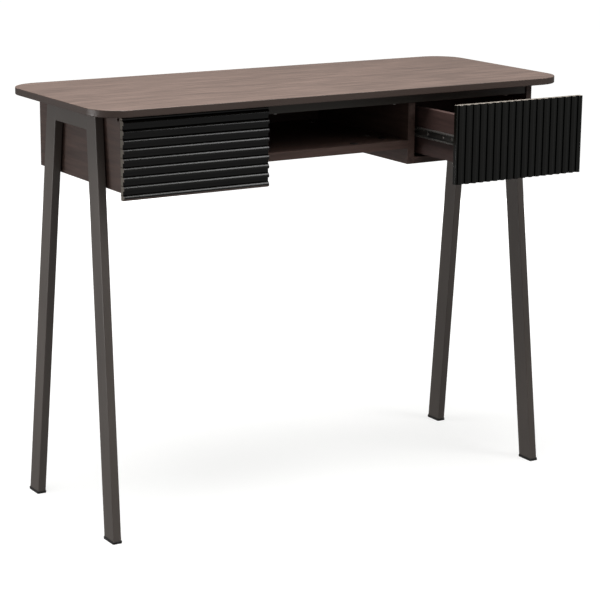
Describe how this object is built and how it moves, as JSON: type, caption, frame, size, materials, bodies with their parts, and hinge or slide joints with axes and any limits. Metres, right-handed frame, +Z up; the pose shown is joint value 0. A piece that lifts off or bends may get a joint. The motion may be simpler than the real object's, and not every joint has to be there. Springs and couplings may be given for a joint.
{
  "type": "writing desk",
  "caption": "Writing desk with a round-cornered top on two leaning A-shaped steel frames, an open centre shelf and a ribbed-front drawer at each end, on ball slides.",
  "frame": {"origin": "middle of the floor under the whole desk with its right drawer 145 mm open, as stored", "axes": "+X to the right along the width, +Y from the drawer fronts to the back, +Z up"},
  "size_m": [1, 0.518, 0.78],
  "materials": {
    "desktop_board": "matt walnut-brown foil, darker edge",
    "cabinet_board": "matt dark brown board",
    "drawer_board": "matt dark brown board",
    "ribbed_board": "satin near-black paint, raw beige cut ends",
    "painted_steel": "satin dark grey powder coat",
    "zinc_steel": "zinc-plated rolled sheet",
    "ball_steel": "polished",
    "screw_steel": "zinc-plated",
    "cast_zinc": "cast zinc",
    "dark_plastic": "matt",
    "beech": "raw"
  },
  "bodies": {
    "desk": {"cabinet_slide_screws": "screw_steel", "cam_pins": "screw_steel", "centre_back": "cabinet_board", "centre_shelf": "cabinet_board", "desktop": "desktop_board", "dowels": "beech", "frame_bolts": "screw_steel", "front_rail": "painted_steel", "front_rail_caps": "dark_plastic", "left_bay_back": "cabinet_board", "left_bay_bottom": "cabinet_board", "left_divider": "cabinet_board", "left_frame_top_bar": "painted_steel", "left_front_foot": "dark_plastic", "left_front_leg": "painted_steel", "left_inner_cabinet_slide": "zinc_steel", "left_outer_cabinet_slide": "zinc_steel", "left_rear_foot": "dark_plastic", "left_rear_leg": "painted_steel", "left_side_panel": "cabinet_board", "rail_screws": "screw_steel", "right_bay_back": "cabinet_board", "right_bay_bottom": "cabinet_board", "right_divider": "cabinet_board", "right_frame_top_bar": "painted_steel", "right_front_foot": "dark_plastic", "right_front_leg": "painted_steel", "right_inner_cabinet_slide": "zinc_steel", "right_outer_cabinet_slide": "zinc_steel", "right_rear_foot": "dark_plastic", "right_rear_leg": "painted_steel", "right_side_panel": "cabinet_board", "shelf_cams": "cast_zinc", "shelf_plugs": "dark_plastic"},
    "left_drawer": {"left_drawer_back": "drawer_board", "left_drawer_bottom": "drawer_board", "left_drawer_box_screws": "screw_steel", "left_drawer_front": "ribbed_board", "left_drawer_front_screws": "screw_steel", "left_drawer_inner_front": "drawer_board", "left_drawer_inner_side": "drawer_board", "left_drawer_inner_slide_channel": "zinc_steel", "left_drawer_outer_side": "drawer_board", "left_drawer_outer_slide_channel": "zinc_steel", "left_drawer_slide_screws": "screw_steel"},
    "right_drawer": {"right_drawer_back": "drawer_board", "right_drawer_bottom": "drawer_board", "right_drawer_box_screws": "screw_steel", "right_drawer_front": "ribbed_board", "right_drawer_front_screws": "screw_steel", "right_drawer_inner_front": "drawer_board", "right_drawer_inner_side": "drawer_board", "right_drawer_inner_slide_channel": "zinc_steel", "right_drawer_outer_side": "drawer_board", "right_drawer_outer_slide_channel": "zinc_steel", "right_drawer_slide_screws": "screw_steel"},
    "left_balls": {"left_drawer_ball_cages": "zinc_steel", "left_drawer_balls": "ball_steel"},
    "right_balls": {"right_drawer_ball_cages": "zinc_steel", "right_drawer_balls": "ball_steel"}
  },
  "joints": [
    {"name": "left_drawer_slide", "type": "slide", "parent": "desk", "child": "left_drawer", "axis": [0, -1, 0], "range_m": [0, 0.2]},
    {"name": "right_drawer_slide", "type": "slide", "parent": "desk", "child": "right_drawer", "axis": [0, -1, 0], "range_m": [-0.145, 0.055]},
    {"name": "left_cage_slide", "type": "slide", "parent": "desk", "child": "left_balls", "axis": [0, -1, 0], "range_m": [0, 0.1]},
    {"name": "right_cage_slide", "type": "slide", "parent": "desk", "child": "right_balls", "axis": [0, -1, 0], "range_m": [-0.0725, 0.0275]}
  ],
  "couplings": [
    {"joint": "left_cage_slide", "follows": "left_drawer_slide", "ratio": 0.5},
    {"joint": "right_cage_slide", "follows": "right_drawer_slide", "ratio": 0.5}
  ]
}
